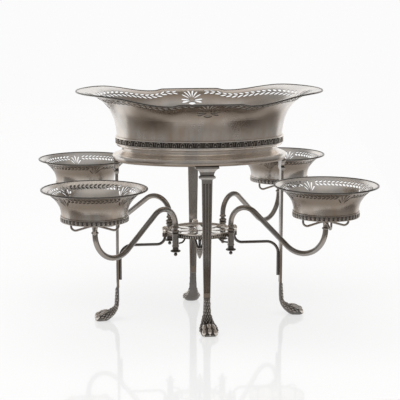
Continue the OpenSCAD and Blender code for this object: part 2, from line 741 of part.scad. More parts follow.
// An upright cutter along X, for one slot of a laurel leaf
module leaf_slot(length, width)
    hull()
        linear_extrude(80)
            polygon([[0, 0], [length / 3, -width / 2], [2 * length / 3, -width / 2], [length, 0],
                [2 * length / 3, width / 2], [length / 3, width / 2]]);

// An upright cutter along X, for one petal of a palmette
module petal_slot(length, width)
    hull()
        linear_extrude(80)
            polygon([[0, 0], [0.7 * length, -width / 2], [length, 0], [0.7 * length, width / 2]]);

// A palmette stands at the middle of each side and end: an oval fan of petals about a heart near its root.
// These are the shares of its reach at which its heart lies and to which it spreads on each side.
palmette_heart = 0.14;
palmette_spread = 0.58;
petal_turns = [14, 40, 65, 88, 112];

function palmette_root(n) = border_place(n, 0.2);

function palmette_reach(n) = norm(border_place(n, 0.87) - palmette_root(n));

// Tip of the petal at turn a from the middle line, seen from the heart
function petal_tip(reach, a) =
    let (ahead = cos(a) < 0 ? 0.35 : 1)
    reach * [(1 - palmette_heart) * ahead * cos(a), palmette_spread * sin(a)];

// The laurel leaves of a quarter run from beside the palmette on its side to beside the one on its end
leaf_level = 0.6;
leaf_climb = 0.15;
climbing_pairs = 5;
leaf_pairs = 18;
leaf_gap = 1.5;
leaf_room = 9;
leaf_spread = 34;

// Angle of the oval's normal between the middle of a palmette and the nearest leaves
function leaf_margin(n, arc_r, room) =
    (palmette_spread * palmette_reach(n) + leaf_gap + room) * 180
    / (PI * (arc_r + border_out(n, bezier_at(main_flare, leaf_level)[0])));

// Quarters from +X to the place with its normal at angle n of the first quarter
function oval_share(n) =
    n < oval_meet ? end_share * n / oval_meet : mix(end_share, 1, (n - oval_meet) / (90 - oval_meet));

leaf_first = oval_share(90 - leaf_margin(90, side_arc_r, leaf_room));
leaf_last = oval_share(leaf_margin(0, end_arc_r, 0));

function leaf_turn(j) = oval_turn(mix(leaf_first, leaf_last, j / (leaf_pairs - 1)));

// Beside the palmette on its side the chain climbs towards the lip
function leaf_place(j) = border_place(leaf_turn(j), leaf_level + leaf_climb * smooth(1 - j / climbing_pairs));

leaf_pitch = norm(border_place(leaf_turn(1), leaf_level) - border_place(leaf_turn(0), leaf_level));

module main_border() {
    section = sheet(bezier(main_flare, 6), main_sheet_t, 0);
    points = [for (i = [0 : oval_steps - 1], p = section) waved(p, oval_turn(4 * i / oval_steps))];
    below = main_border_z - 20;
    color(silver) difference() {
        polyhedron(points, ring_faces(oval_steps, len(section)), convexity = 8);
        for (mx = [-1, 1], my = [-1, 1], j = [0 : leaf_pairs - 1]) {
            here = leaf_place(j);
            ahead = leaf_place(j - 1) - here;
            scale([mx, my, 1]) translate([here[0], here[1], below]) rotate(atan2(ahead[1], ahead[0]))
                for (s = [-1, 1])
                    rotate(leaf_spread * s) translate([0.8, 0, 0])
                        leaf_slot(1.15 * leaf_pitch, 0.36 * leaf_pitch);
        }
        for (k = [0 : 3]) {
            root = palmette_root(90 * k);
            reach = palmette_reach(90 * k);
            translate([root[0], root[1], below]) rotate(90 * k) translate([palmette_heart * reach, 0, 0])
                for (a = petal_turns, s = [-1, 1]) {
                    tip = petal_tip(reach, a);
                    rotate(s * atan2(tip[1], tip[0])) translate([0.24 * norm(tip), 0, 0])
                        petal_slot(0.76 * norm(tip), 0.1 * reach);
                }
        }
    }
}

module main_rim() {
    facets = 6;
    points = [for (i = [0 : oval_steps - 1], k = [0 : facets - 1])
        let (n = oval_turn(4 * i / oval_steps), a = 360 * k / facets,
            place = oval_place(n, border_out(n, main_lip_r) + seam_gap + wire_r * (1 + cos(a))))
        [place[0], place[1], main_lip_z + main_sheet_t / 2 + edge_wave(n) + wire_r * sin(a)]];
    color(silver) polyhedron(points, ring_faces(oval_steps, facets), convexity = 8);
}

// What is drawn

stand_ring();
for (i = [0 : 3]) {
    at_side(i) capital();
    at_side(i) leg();
    at_side(i) paw();
    brace(i);
}
centre_plate();
pendant_finial();
for (i = [0 : 3]) at_corner(i) socket_stay();  // socket_stays
for (i = [0 : 3]) {
    at_socket(i) socket();
    at_arm(i) arm();
    at_arm(i) finial_nut();
    at_holder(i) holder();
    at_small_basket(i) small_foot();
    at_small_basket(i) small_bowl();
    at_small_basket(i) small_border();
    at_small_basket(i) small_rim();
}
main_foot();
main_bowl();
main_border();
main_rim();
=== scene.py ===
# %% [markdown]
# # A silver epergne
# An epergne is a table centrepiece. This one has a stand on four paw feet, an oval basket on top, and four
# arms that each carry a small round basket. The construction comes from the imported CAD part. Blender adds
# what a chaser and a polisher would add: ornament, fine edges, tarnish and light.

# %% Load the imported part
import math

import bmesh
import bpy
from mathutils import Matrix, Vector


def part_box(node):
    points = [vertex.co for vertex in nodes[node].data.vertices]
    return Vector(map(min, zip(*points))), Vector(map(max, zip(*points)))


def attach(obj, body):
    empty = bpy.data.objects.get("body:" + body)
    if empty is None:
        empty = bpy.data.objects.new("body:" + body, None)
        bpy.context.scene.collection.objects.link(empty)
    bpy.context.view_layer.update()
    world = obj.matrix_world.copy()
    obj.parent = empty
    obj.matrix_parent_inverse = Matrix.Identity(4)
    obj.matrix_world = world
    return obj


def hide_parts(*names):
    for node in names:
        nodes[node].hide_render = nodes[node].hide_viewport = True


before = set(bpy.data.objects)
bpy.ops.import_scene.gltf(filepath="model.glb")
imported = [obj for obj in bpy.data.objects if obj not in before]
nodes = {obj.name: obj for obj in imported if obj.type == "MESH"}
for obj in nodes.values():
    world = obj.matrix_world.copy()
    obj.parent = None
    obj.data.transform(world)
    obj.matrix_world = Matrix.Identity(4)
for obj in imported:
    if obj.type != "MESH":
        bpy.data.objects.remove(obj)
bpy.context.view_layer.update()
MM = 0.001

# %% [markdown]
# ## Camera
# A product photographer stands well back with a long lens, so that the baskets keep their true proportions.
# The distance, height and turn below were fitted to the photograph. The lens follows from a 36 mm wide
# sensor.

# %% Camera at the photograph's place
AIM = Vector((0.4, 0, 161)) * MM
DISTANCE = 1.743
TURN, RISE = math.radians(-7.4), math.radians(10)
SENSOR_WIDTH, FOCAL_LENGTH = 36, 117.07
toward_camera = Vector((math.sin(TURN) * math.cos(RISE), -math.cos(TURN) * math.cos(RISE), math.sin(RISE)))
lens = bpy.data.cameras.new("photo_camera")
lens.sensor_width = SENSOR_WIDTH
lens.lens = FOCAL_LENGTH
camera = bpy.data.objects.new("photo_camera", lens)
camera.location = AIM + DISTANCE * toward_camera
camera.rotation_euler = (-toward_camera).to_track_quat("-Z", "Y").to_euler()
bpy.context.scene.collection.objects.link(camera)
bpy.context.scene.camera = camera
bpy.context.scene.view_settings.view_transform = "Standard"
print("camera at", [round(x, 3) for x in camera.location])

# %% [markdown]
# ## Shader sums
# A material is a graph of nodes. Linking them one by one is long to read, so one small class wraps a
# socket: its operators add Math nodes, and its node() method adds any other node. A finish can then be
# written as a sum.


# %% A socket that can be reckoned with
class Wire:
    """An output socket in a node tree."""

    def __init__(self, tree, socket=None):
        self.tree, self.socket = tree, socket

    def node(self, kind, settings=None, sockets=None, output=0):
        """Adds a node, sets it up, feeds it with numbers or wires, and returns one of its outputs."""
        made = self.tree.nodes.new(kind)
        for name, value in (settings or {}).items():
            setattr(made, name, value)
        for name, value in (sockets or {}).items():
            if isinstance(value, Wire):
                self.tree.links.new(value.socket, made.inputs[name])
            else:
                made.inputs[name].default_value = value
        return Wire(self.tree, made.outputs[output])

    def sum(self, operation, a, b):
        """One Math node."""
        return self.node("ShaderNodeMath", {"operation": operation}, {0: a, 1: b})

    def __add__(self, other):
        return self.sum("ADD", self, other)

    __radd__ = __add__

    def __sub__(self, other):
        return self.sum("SUBTRACT", self, other)

    def __rsub__(self, other):
        return self.sum("SUBTRACT", other, self)

    def __mul__(self, other):
        return self.sum("MULTIPLY", self, other)

    __rmul__ = __mul__

    def steps(self, low, high):
        """0 below low, 1 above high, and a smooth rise between them."""
        return self.node("ShaderNodeMapRange", {"interpolation_type": "SMOOTHSTEP"},
                         {"Value": self, "From Min": low, "From Max": high})

    def noise(self, scale, detail=3.0, stretch=(1, 1, 1)):
        """Cloudy noise read at this place, with cells 1 / scale metres wide, drawn out by stretch."""
        place = self.node("ShaderNodeMapping", None, {"Vector": self, "Scale": stretch})
        return self.node("ShaderNodeTexNoise", None, {"Vector": place, "Scale": scale, "Detail": detail})

    def mix(self, low, high):
        """The colour low where this is 0, and high where it is 1."""
        return self.node("ShaderNodeMix", {"data_type": "RGBA"}, {0: self, 6: low, 7: high}, output=2)


def feed(shader, name, wire):
    """Links a wire to a shader's socket."""
    wire.tree.links.new(wire.socket, shader.inputs[name])


print("shader sums ready")

# %% [markdown]
# ## Old silver
# Silver tarnishes from yellow through brown to black. Polishing takes the tarnish off the open faces and
# leaves it in hollows, so a hollow can be found by how much of the sky it sees (ambient occlusion, of the
# piece alone). Large soft patches of warm brown and small cloudy marks lie over the rest, and roughness
# follows the tarnish. The bump is tiny: hand-raised silver is never quite flat. Under the flare of a basket
# a painted shade darkens its wall towards the border, and other finishes get such a painted shade over a
# band of heights too.

# %% Old silver
CLEAN = (0.84, 0.79, 0.735, 1)
WARM = (0.66, 0.535, 0.43, 1)
COOL = (0.70, 0.68, 0.66, 1)
OXIDE = (0.030, 0.026, 0.023, 1)
# Brown patches and cool marks: noise as cells per metre, detail and stretch, and the range that shows
PATCH_NOISE, PATCH_RANGE = (34, 4.0, (1, 1, 0.8)), (0.40, 0.62)
MARK_NOISE, MARK_RANGE = (46, 3.0, (1, 1, 0.6)), (0.44, 0.60)
STREAK_CELLS, STREAK_DETAIL, STREAK_RANGE = 120, 2.0, (0.45, 0.75)
# The share of the colour that patches, streaks and marks take
PATCH_SHARE, STREAK_SHARE, MARK_SHARE = 0.7, 0.5, 0.6
# The roughness that patches, streaks and hollows add
PATCH_ROUGH, STREAK_ROUGH, HOLLOW_ROUGH = 0.08, 0.06, 0.25
# The waves that the hammer leaves, with the streaks as fine lines on them
WAVE_CELLS, WAVE_DETAIL, STREAK_DEPTH, BUMP_STRENGTH = 45, 1.0, 0.06, 0.1


def shaded(colour, shade):
    """The colour, with painted shade for a shade below 1 and painted light above it."""
    return tuple(shade * c for c in colour[:3]) + (1,)


def old_silver(name, tarnish, hollow, reach=3.0, rough=0.2, drawn=(1, 1, 0.25), shade=1.0, under=None,
               ends=None, sky_range=(0.25, 0.9)):
    """Silver with this share of tarnish; hollows narrower than reach mm turn dark by the share hollow.

    drawn stretches the streaks. under gives two heights in mm and a share: from the first height to the
    second a painted shade turns the colour to the warm tarnish colour, darkened to that share. ends gives two
    distances in mm from the middle along X, between which the tarnish and that painted shade fade. A place
    that sees less of the sky than the first value of sky_range counts as a full hollow, and one that sees
    more than the second as open.
    """
    made = bpy.data.materials.new(name)
    made.use_nodes = True
    shader = made.node_tree.nodes["Principled BSDF"]
    place = Wire(made.node_tree).node("ShaderNodeTexCoord", output="Object")
    patches = place.noise(*PATCH_NOISE).steps(*PATCH_RANGE)
    cooler = place.noise(*MARK_NOISE).steps(*MARK_RANGE)
    streaks = place.noise(STREAK_CELLS, STREAK_DETAIL, drawn)
    sky = place.node("ShaderNodeAmbientOcclusion", {"samples": 8, "only_local": True},
                     {"Distance": reach * MM}, output="AO")
    dark = hollow * (1 - sky.steps(*sky_range))
    warm = tarnish * (PATCH_SHARE * patches + STREAK_SHARE * streaks.steps(*STREAK_RANGE))
    tarnish_and_shade_kept = 1
    # ends lets the tarnish and the painted shade of under fade away towards the ends of the oval
    if ends:
        across = place.node("ShaderNodeSeparateXYZ", None, {0: place}, output="X")
        from_middle = across.node("ShaderNodeMath", {"operation": "ABSOLUTE"}, {0: across})
        tarnish_and_shade_kept = 1 - from_middle.steps(ends[0] * MM, ends[1] * MM)
        warm = warm * tarnish_and_shade_kept
    # shade paints light or shade over every colour of this finish: darker below 1, lighter above it
    colour = (MARK_SHARE * cooler).mix(shaded(CLEAN, shade), shaded(COOL, shade))
    colour = warm.mix(colour, shaded(WARM, shade))
    # under paints shade: over a band of heights the colour darkens to the warm tarnish colour
    if under:
        height = place.node("ShaderNodeSeparateXYZ", None, {0: place}, output="Z")
        painted_shade_band = tarnish_and_shade_kept * height.steps(under[0] * MM, under[1] * MM)
        colour = painted_shade_band.mix(colour, shaded(WARM, under[2]))
    colour = dark.mix(colour, OXIDE)
    feed(shader, "Base Color", colour)
    worn = rough + PATCH_ROUGH * tarnish * patches + STREAK_ROUGH * streaks + HOLLOW_ROUGH * dark
    feed(shader, "Roughness", worn)
    shader.inputs["Metallic"].default_value = 1
    waves = place.noise(WAVE_CELLS, WAVE_DETAIL) + STREAK_DEPTH * streaks
    bump = place.node("ShaderNodeBump", None, {"Height": waves, "Strength": BUMP_STRENGTH, "Distance": MM})
    feed(shader, "Normal", bump)
    return made


print("tarnish runs from", CLEAN[:3], "to", OXIDE[:3])

# %% [markdown]
# ## One finish for each place
# No two parts of an old piece are equally worn. The walls of the baskets keep most of their tarnish, and the
# ring and the borders are wiped often. Each place also gets a painted shade or a painted light over its whole
# finish, and the rim wires are painted dark. So the same recipe is mixed once for each place, with shares
# that were set by comparing the render with the photograph.

# %% Finishes of the baskets and the ring
# shade paints light or shade over a whole finish, and under paints shade over a band of heights
wall_silver = old_silver("wall_silver", tarnish=0.8, hollow=0.5, rough=0.24, drawn=(1, 1, 0.1),
                         under=(252, 286, 0.37), ends=(84, 114))
dull_silver = old_silver("dull_silver", tarnish=0.9, hollow=0.5, drawn=(1, 1, 0.1), shade=0.78,
                         under=(169, 186, 0.35))
ring_silver = old_silver("ring_silver", tarnish=0.3, hollow=0.5, reach=1.6, shade=1.1, under=(224, 219, 0.4))
border_silver = old_silver("border_silver", tarnish=0.45, hollow=0.5, reach=1.5, under=(280, 294, 0.7),
                           ends=(70, 120))
rim_silver = old_silver("rim_silver", tarnish=0.5, hollow=0.3, rough=0.25, shade=0.25)
print("basket finishes:", [m.name for m in bpy.data.materials if m.name.endswith("_silver")])

# %% [markdown]
# Polish never reaches the bottom of cast and chased work, so most finishes of the stand turn nearly black
# in their hollows. A painted shade makes the legs and the rods darker all over, and the legs darker still
# low down. A painted light makes the toes and the plate the brightest.

# %% Finishes of the stand and its ornament
# shade paints light or shade over a whole finish, and under paints shade over a band of heights
stand_silver = old_silver("stand_silver", tarnish=0.6, hollow=0.95, reach=2.5, rough=0.19, shade=0.7)
leg_silver = old_silver("leg_silver", tarnish=0.6, hollow=0.9, reach=2.0, shade=0.55, under=(105, 75, 0.3),
                        sky_range=(0.84, 0.985))
rod_silver = old_silver("rod_silver", tarnish=0.6, hollow=0.8, reach=2.0, rough=0.14, shade=0.43)
deep_silver = old_silver("deep_silver", tarnish=0.6, hollow=0.97, reach=2.5, shade=0.2)
chased_silver = old_silver("chased_silver", tarnish=0.6, hollow=0.97, reach=3.5, rough=0.24, shade=0.55)
paw_silver = old_silver("paw_silver", tarnish=0.4, hollow=0.97, rough=0.22, shade=0.95, sky_range=(0.4, 0.95))
plate_silver = old_silver("plate_silver", tarnish=0.1, hollow=0.5, reach=2.0, shade=1.1,
                          under=(118.2, 117.2, 0.25))
print("silver finishes:", len([m for m in bpy.data.materials if m.name.endswith("_silver")]))

# %% [markdown]
# ## Oxidised silver
# The fields behind raised ornament are left nearly black, so that the ornament reads. It is still metal,
# but rougher, with a little silver showing through.

# %% Oxidised silver
FIELD_BLACK = (0.045, 0.041, 0.037, 1)
RUBBED = (0.30, 0.28, 0.26, 1)
GRAIN_CELLS, GRAIN_DETAIL, RUBBED_RANGE, RUBBED_SHARE = 260, 3.0, (0.5, 0.75), 0.4
FIELD_ROUGH, RUBBED_SMOOTHER = 0.46, 0.16
oxide_silver = bpy.data.materials.new("oxide_silver")
oxide_silver.use_nodes = True
oxide_shader = oxide_silver.node_tree.nodes["Principled BSDF"]
oxide_place = Wire(oxide_silver.node_tree).node("ShaderNodeTexCoord", output="Object")
rubbed = oxide_place.noise(GRAIN_CELLS, GRAIN_DETAIL).steps(*RUBBED_RANGE)
feed(oxide_shader, "Base Color", (RUBBED_SHARE * rubbed).mix(FIELD_BLACK, RUBBED))
feed(oxide_shader, "Roughness", FIELD_ROUGH - RUBBED_SMOOTHER * rubbed)
oxide_shader.inputs["Metallic"].default_value = 1
print("made", oxide_silver.name)

# %% [markdown]
# ## Finishes for the CAD nodes
# Nodes whose shape is right stay as they are and only get a finish. Which finish depends on the first words
# of the node's name.

# %% Finishes for the CAD nodes
FINISH = {"stand_ring": ring_silver, "capital": leg_silver, "leg": leg_silver, "paw": deep_silver,
          "brace": deep_silver, "centre_plate": plate_silver, "pendant_finial": oxide_silver,
          "socket_stays": deep_silver, "socket": rod_silver, "arm": rod_silver, "finial_nut": deep_silver,
          "holder": rod_silver, "small_foot": stand_silver, "small_bowl": dull_silver,
          "small_border": border_silver, "small_rim": rim_silver, "main_foot": ring_silver,
          "main_bowl": wall_silver, "main_border": border_silver, "main_rim": rim_silver}
for name, node in nodes.items():
    kind = max((k for k in FINISH if name.startswith(k)), key=len)
    node.data.materials.clear()
    node.data.materials.append(FINISH[kind])
print("finished", len(nodes), "CAD nodes")

# %% [markdown]
# ## The oval
# The large basket and its ring follow an oval of four arcs: two tight ones at the ends and two wide ones
# along the sides, which meet without a corner. A section drawn at the right-hand end can be spun through
# the arcs one after another, which is how a spinner would turn it on an oval chuck. The centres of two arcs
# and the middle of the oval make a 3-4-5 triangle, which gives the angle at which the arcs meet.

# %% The oval
RING_LENGTH, RING_WIDTH = 116, 78
END_CENTRE = 1.5 * (RING_LENGTH - RING_WIDTH)
SIDE_CENTRE = 2 * (RING_LENGTH - RING_WIDTH)
END_ARC = RING_LENGTH - END_CENTRE
SIDE_ARC = RING_WIDTH + SIDE_CENTRE
MEET = math.atan2(4, 3)
END_STEPS, SIDE_STEPS = 96, 80
# Points closer than this, in mm, are merged where the ring closes
WELD = 0.01


def oval_point(turn, out):
    """Where the oval's normal points at this angle, out mm outside the ring's widest line."""
    c, s = math.cos(turn), math.sin(turn)
    if abs(s) < math.sin(MEET):
        return Vector((math.copysign(END_CENTRE, c) + (END_ARC + out) * c, (END_ARC + out) * s))
    return Vector(((SIDE_ARC + out) * c, (SIDE_ARC + out) * s - math.copysign(SIDE_CENTRE, s)))


def oval_read(x, y):
    """The normal's angle and the distance outside the ring's widest line, at a place in mm."""
    end = Vector((abs(x) - END_CENTRE, abs(y)))
    if math.atan2(end.y, end.x) < MEET:
        return math.atan2(end.y, end.x), end.length - END_ARC
    side = Vector((abs(x), abs(y) + SIDE_CENTRE))
    return math.atan2(side.y, side.x), side.length - SIDE_ARC


def spin_oval(bm, section):
    """Spins the edges of a section through the oval's arcs, and closes the ring."""
    side_turn = math.pi - 2 * MEET
    arcs = [((END_CENTRE, 0), MEET, END_STEPS // 2), ((0, -SIDE_CENTRE), side_turn, SIDE_STEPS),
            ((-END_CENTRE, 0), 2 * MEET, END_STEPS), ((0, SIDE_CENTRE), side_turn, SIDE_STEPS),
            ((END_CENTRE, 0), MEET, END_STEPS // 2)]
    last = section
    for (x, y), angle, steps in arcs:
        last = bmesh.ops.spin(bm, geom=last, cent=(x * MM, y * MM, 0), axis=(0, 0, 1), angle=angle,
                              steps=steps)["geom_last"]
    bmesh.ops.remove_doubles(bm, verts=bm.verts, dist=WELD * MM)


print("end arcs", END_ARC, "mm, side arcs", SIDE_ARC, "mm")

# %% [markdown]
# ## Making pieces
# Sizes are given in mm and become metres here. Each piece of ornament is built as a bmesh and then becomes
# an object that rides on a body of the CAD part, so that it moves with that body.

# %% Making pieces
SHARP = math.radians(40)


def closed_line(bm, points):
    """A closed line of edges through points (x, z) in mm, standing on the XZ plane. Returns its geometry."""
    verts = [bm.verts.new((x * MM, 0, z * MM)) for x, z in points]
    edges = [bm.edges.new((a, b)) for a, b in zip(verts, verts[1:] + verts[:1])]
    return verts + edges


def piece(name, bm, body, finish, replaces=()):
    """Makes the mesh an object that rides on a body; edges sharper than SHARP stay crisp."""
    bmesh.ops.recalc_face_normals(bm, faces=bm.faces)
    mesh = bpy.data.meshes.new(name)
    bm.to_mesh(mesh)
    bm.free()
    mesh.materials.append(finish)
    mesh.shade_smooth()
    mesh.set_sharp_from_angle(angle=SHARP)
    made = bpy.data.objects.new(name, mesh)
    bpy.context.scene.collection.objects.link(made)
    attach(made, body)
    if replaces:
        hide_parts(*replaces)
    print(name, len(mesh.polygons), "faces")
    return made


print("edges sharper than", round(math.degrees(SHARP)), "degrees stay crisp")

# %% [markdown]
# ## The pierced border of the large basket
# A silversmith hammers the flare, waves its edge and then saws the piercings. Here a section of the sheet
# is spun round the oval, its points are moved out and up with the wave, and a Boolean saws laurel leaves
# and palmettes out of it with upright cutters, all in one go. Polish doesn't reach the sawn edges, so they
# stay black.

# %% Wave of the border
BORDER_Z, FLARE_H, SHEET = 275, 31, 0.5
LIP_LENGTH, LIP_WIDTH, ROOT = 161.5, 114, 115
LIP_Z = BORDER_Z + FLARE_H
SIDE_FLARE = (LIP_WIDTH - RING_WIDTH - ROOT + RING_LENGTH) / (LIP_LENGTH - ROOT)
# The edge rises at the ends, dips along the sides, and arches up a little at their middles
END_RISE, DIP, ARCH = 2, 8.5, 2.1
# Where the edge starts to climb and where the arch starts to fall, on the way from a side to an end, and
# over what share of that way they do so
CLIMB_START, CLIMB_SPAN, FALL_START, FALL_SPAN = 0.37, 0.52, 0.26, 0.08


def smooth(s):
    """A smooth step from 0 to 1."""
    s = min(1, max(0, s))
    return s * s * (3 - 2 * s)


def toward_end(turn):
    """0 at the middle of a side of the oval and 1 at its end."""
    return abs(oval_point(turn, 0).x) / RING_LENGTH


def edge_wave(turn):
    """How far the edge lies above the lip's height, in mm."""
    c = toward_end(turn)
    end = smooth((c - CLIMB_START) / CLIMB_SPAN)
    return -DIP + (END_RISE + DIP) * end + ARCH * (1 - smooth((c - FALL_START) / FALL_SPAN))


def border_out(turn, r):
    """The border reaches out less at the sides of the oval than at its ends."""
    return ROOT - RING_LENGTH + (r - ROOT) * (SIDE_FLARE + (1 - SIDE_FLARE) * smooth(toward_end(turn)))


def set_on_oval(v, place, z):
    """Moves a vertex to a place on the oval in mm, in the quarter that it lies in."""
    v.co = Vector((math.copysign(place.x, v.co.x), math.copysign(place.y, v.co.y), z)) * MM


def wave_border(bm):
    """Moves a border that was spun from its section at the oval's end to its waved place."""
    for v in bm.verts:
        x, y, z = (c / MM for c in v.co)
        turn, out = oval_read(x, y)
        share = min(1, max(0, (z - BORDER_Z) / FLARE_H))
        place = oval_point(turn, border_out(turn, RING_LENGTH + out))
        set_on_oval(v, place, z + share * edge_wave(turn))


print("edge at the ends", round(edge_wave(0), 1), "mm, at the sides", round(edge_wave(math.pi / 2), 1), "mm")

# %% Sheet of the border
# The flare leaves the wall of the bowl in the wall's direction, and nears the lip almost level
LEAN, LIFT, REACH, DROP = 6.2, 0.52, 0.44, 3
FLARE = [Vector(p) for p in ((ROOT, BORDER_Z), (ROOT + LEAN, BORDER_Z + LIFT * FLARE_H),
                             (ROOT + REACH * (LIP_LENGTH - ROOT), LIP_Z - DROP), (LIP_LENGTH, LIP_Z))]


def bezier(p, s):
    """A point on the cubic curve with these four control points."""
    return (1 - s) ** 3 * p[0] + 3 * (1 - s) ** 2 * s * p[1] + 3 * (1 - s) * s * s * p[2] + s ** 3 * p[3]


FLARE_STEPS = 16
under = [bezier(FLARE, i / FLARE_STEPS) for i in range(FLARE_STEPS + 1)]
over = []
for i, p in enumerate(under):
    along = under[min(i + 1, FLARE_STEPS)] - under[max(i - 1, 0)]
    normal = Vector((-along.y, along.x)).normalized()
    over.append(p + SHEET * normal if i else p + Vector((SHEET / normal.x, 0)))
border = bmesh.new()
spin_oval(border, closed_line(border, under + over[::-1]))
wave_border(border)
main_border = piece("main_border_pierced", border, "main_basket", border_silver, ["main_border"])


# %% Outside of the border
# Seen from outside, the flare goes on from the wall of the bowl, so it has the wall's finish there
# With it the faces that look down also take the painted shade that darkens the wall under the flare
def finish_outside(border, finish):
    """Gives the faces of a flare that look down a finish of their own."""
    border.data.materials.append(finish)
    for face in border.data.polygons:
        face.material_index = 1 if face.normal.z < 0 else 0
    print(border.name, "has", finish.name, "outside")


finish_outside(main_border, wall_silver)

# %% [markdown]
# ## Cutters for the piercings
# Leaves and petals are sawn straight down through the sheet. A cutter starts as a circle, whose points are
# moved to the outline of a leaf or a petal, and is then extruded upwards. One function can make both,
# because they differ only in how their width changes along their length.

# %% Cutters for the piercings
BELOW = BORDER_Z - 20
CUTTER_HEIGHT, CUTTER_SIDES, PETAL_ROOT = 80, 20, 0.3


def at(x, y, z):
    """A shift, in mm."""
    return Matrix.Translation(Vector((x, y, z)) * MM)


def turned(angle, axis="Z"):
    """A turn about an axis."""
    return Matrix.Rotation(angle, 4, axis)


def cutter(bm, length, width, place, pointed=True):
    """An upright cutter along X from the origin of place: a pointed leaf, or a petal with a round tip."""
    made = bmesh.ops.create_circle(bm, cap_ends=True, segments=CUTTER_SIDES, radius=1)["verts"]
    for v in made:
        along, side = (v.co.x + 1) / 2, v.co.y
        half = side * abs(side) if pointed else side * (PETAL_ROOT + (1 - PETAL_ROOT) * along)
        v.co = Vector((along * length, half * width / 2, 0)) * MM
    face = made[0].link_faces[0]
    top = bmesh.ops.extrude_face_region(bm, geom=[face])["geom"]
    raised = [v for v in top if isinstance(v, bmesh.types.BMVert)]
    bmesh.ops.translate(bm, verts=raised, vec=(0, 0, CUTTER_HEIGHT * MM))
    bmesh.ops.transform(bm, matrix=place, verts=made + raised)


def border_place(turn, share):
    """A place on the flare in plan, at a share of its curve from the bowl to the lip."""
    return oval_point(turn, border_out(turn, bezier(FLARE, share).x))


def heading(step):
    """The angle of a step in plan."""
    return math.atan2(step.y, step.x)


print("cutters start", BELOW, "mm up")

# %% [markdown]
# The laurel leaves run along the flare in pairs. Each pair springs from a point and opens towards the
# middle of the basket's side, where the chain climbs a little. One quarter is set out and then mirrored to
# the other three.

# %% Laurel leaves
LEAF_PAIRS, LEAF_SPREAD = 18, math.radians(34)
LEAF_LENGTH, LEAF_WIDTH, STEM = 10, 3.7, 0.4
# How far up the flare the chain runs, how much it climbs, and over how many pairs
LEAF_LEVEL, LEAF_CLIMB, CLIMBING = 0.6, 0.15, 5
# Where the chain starts and stops in a quarter, counted from the end, and how much of that is the end arc
FIRST_PAIR, LAST_PAIR, END_SHARE = 0.857, 0.115, 0.4


def leaf_place(j):
    """Where pair j of a quarter springs, counted from the middle of the side."""
    share = FIRST_PAIR + (LAST_PAIR - FIRST_PAIR) * j / (LEAF_PAIRS - 1)
    if share < END_SHARE:
        turn = MEET * share / END_SHARE
    else:
        turn = MEET + (math.pi / 2 - MEET) * (share - END_SHARE) / (1 - END_SHARE)
    return border_place(turn, LEAF_LEVEL + LEAF_CLIMB * smooth(1 - j / CLIMBING))


quarter = bmesh.new()
for j in range(LEAF_PAIRS):
    here = leaf_place(j)
    way = heading(leaf_place(j - 1) - here)
    for side in (-1, 1):
        spot = at(here.x, here.y, BELOW) @ turned(way + side * LEAF_SPREAD) @ at(STEM, 0, 0)
        cutter(quarter, LEAF_LENGTH, LEAF_WIDTH, spot)
leaves = bpy.data.meshes.new("leaves")
quarter.to_mesh(leaves)
quarter.free()
cutters = bmesh.new()
for mx in (-1, 1):
    for my in (-1, 1):
        flipped = leaves.copy()
        flipped.transform(Matrix.Diagonal((mx, my, 1, 1)))
        cutters.from_mesh(flipped)
        bpy.data.meshes.remove(flipped)
print("leaf cutters:", 8 * LEAF_PAIRS)

# %% [markdown]
# A palmette stands at the middle of each side and end: a fan of ten petals, with a crescent at its root. The
# tips of the petals lie on an oval, so its length and width shape the whole fan.

# %% Palmettes
ROOT_LEVEL, TIP_LEVEL = 0.2, 0.87
# As shares of a palmette's reach: its heart, its half width, a petal's width and the crescent's length. A
# petal starts at a share of its own length, and the fan reaches back only by the share BACKWARD.
HEART, FAN_WIDTH, PETAL_WIDTH, CRESCENT_LENGTH = 0.14, 0.58, 0.125, 0.44
PETAL_START, BACKWARD = 0.17, 0.35
CRESCENT_WIDTH, CRESCENT_OUT = 2.6, 0.2
PETALS = [math.radians(a) for a in (14, 40, 65, 88, 112)]
for k in range(4):
    middle = k * math.pi / 2
    root = border_place(middle, ROOT_LEVEL)
    reach = (border_place(middle, TIP_LEVEL) - root).length
    base = at(root.x, root.y, BELOW) @ turned(middle)
    for angle in PETALS:
        ahead = math.cos(angle) * (1 if math.cos(angle) > 0 else BACKWARD)
        tip = reach * Vector(((1 - HEART) * ahead, FAN_WIDTH * math.sin(angle)))
        for side in (-1, 1):
            spot = base @ at(HEART * reach, 0, 0) @ turned(side * heading(tip))
            cutter(cutters, (1 - PETAL_START) * tip.length, PETAL_WIDTH * reach,
                   spot @ at(PETAL_START * tip.length, 0, 0), pointed=False)
    across = base @ at(CRESCENT_OUT, -CRESCENT_LENGTH / 2 * reach, 0) @ turned(math.pi / 2)
    cutter(cutters, CRESCENT_LENGTH * reach, CRESCENT_WIDTH, across)
print("petal cutters:", 4 * (2 * len(PETALS) + 1))


# %% Saw the piercings
def saw(target, cutters):
    """Cuts the solids in a bmesh out of an object's mesh for good, and leaves the cut edges dark."""
    bmesh.ops.recalc_face_normals(cutters, faces=cutters.faces)
    for face in cutters.faces:
        face.material_index = len(target.data.materials)
    target.data.materials.append(oxide_silver)
    mesh = bpy.data.meshes.new("cutters")
    cutters.to_mesh(mesh)
    cutters.free()
    tool = bpy.data.objects.new("cutters", mesh)
    bpy.context.scene.collection.objects.link(tool)
    cut = target.modifiers.new("saw", "BOOLEAN")
    cut.operation, cut.solver, cut.object = "DIFFERENCE", "EXACT", tool
    sawn = bpy.data.meshes.new_from_object(target.evaluated_get(bpy.context.evaluated_depsgraph_get()))
    target.modifiers.clear()
    target.data = sawn
    bpy.data.objects.remove(tool)
    sawn.shade_smooth()
    sawn.set_sharp_from_angle(angle=SHARP)
    print(target.name, "sawn to", len(sawn.polygons), "faces")


saw(main_border, cutters)

# %% [markdown]
# ## The rim wire of the large basket
# A thin wire is soldered along the lip to stiffen it. Its round section is spun and waved with the same
# functions as the border, so that it stays on the lip all the way.

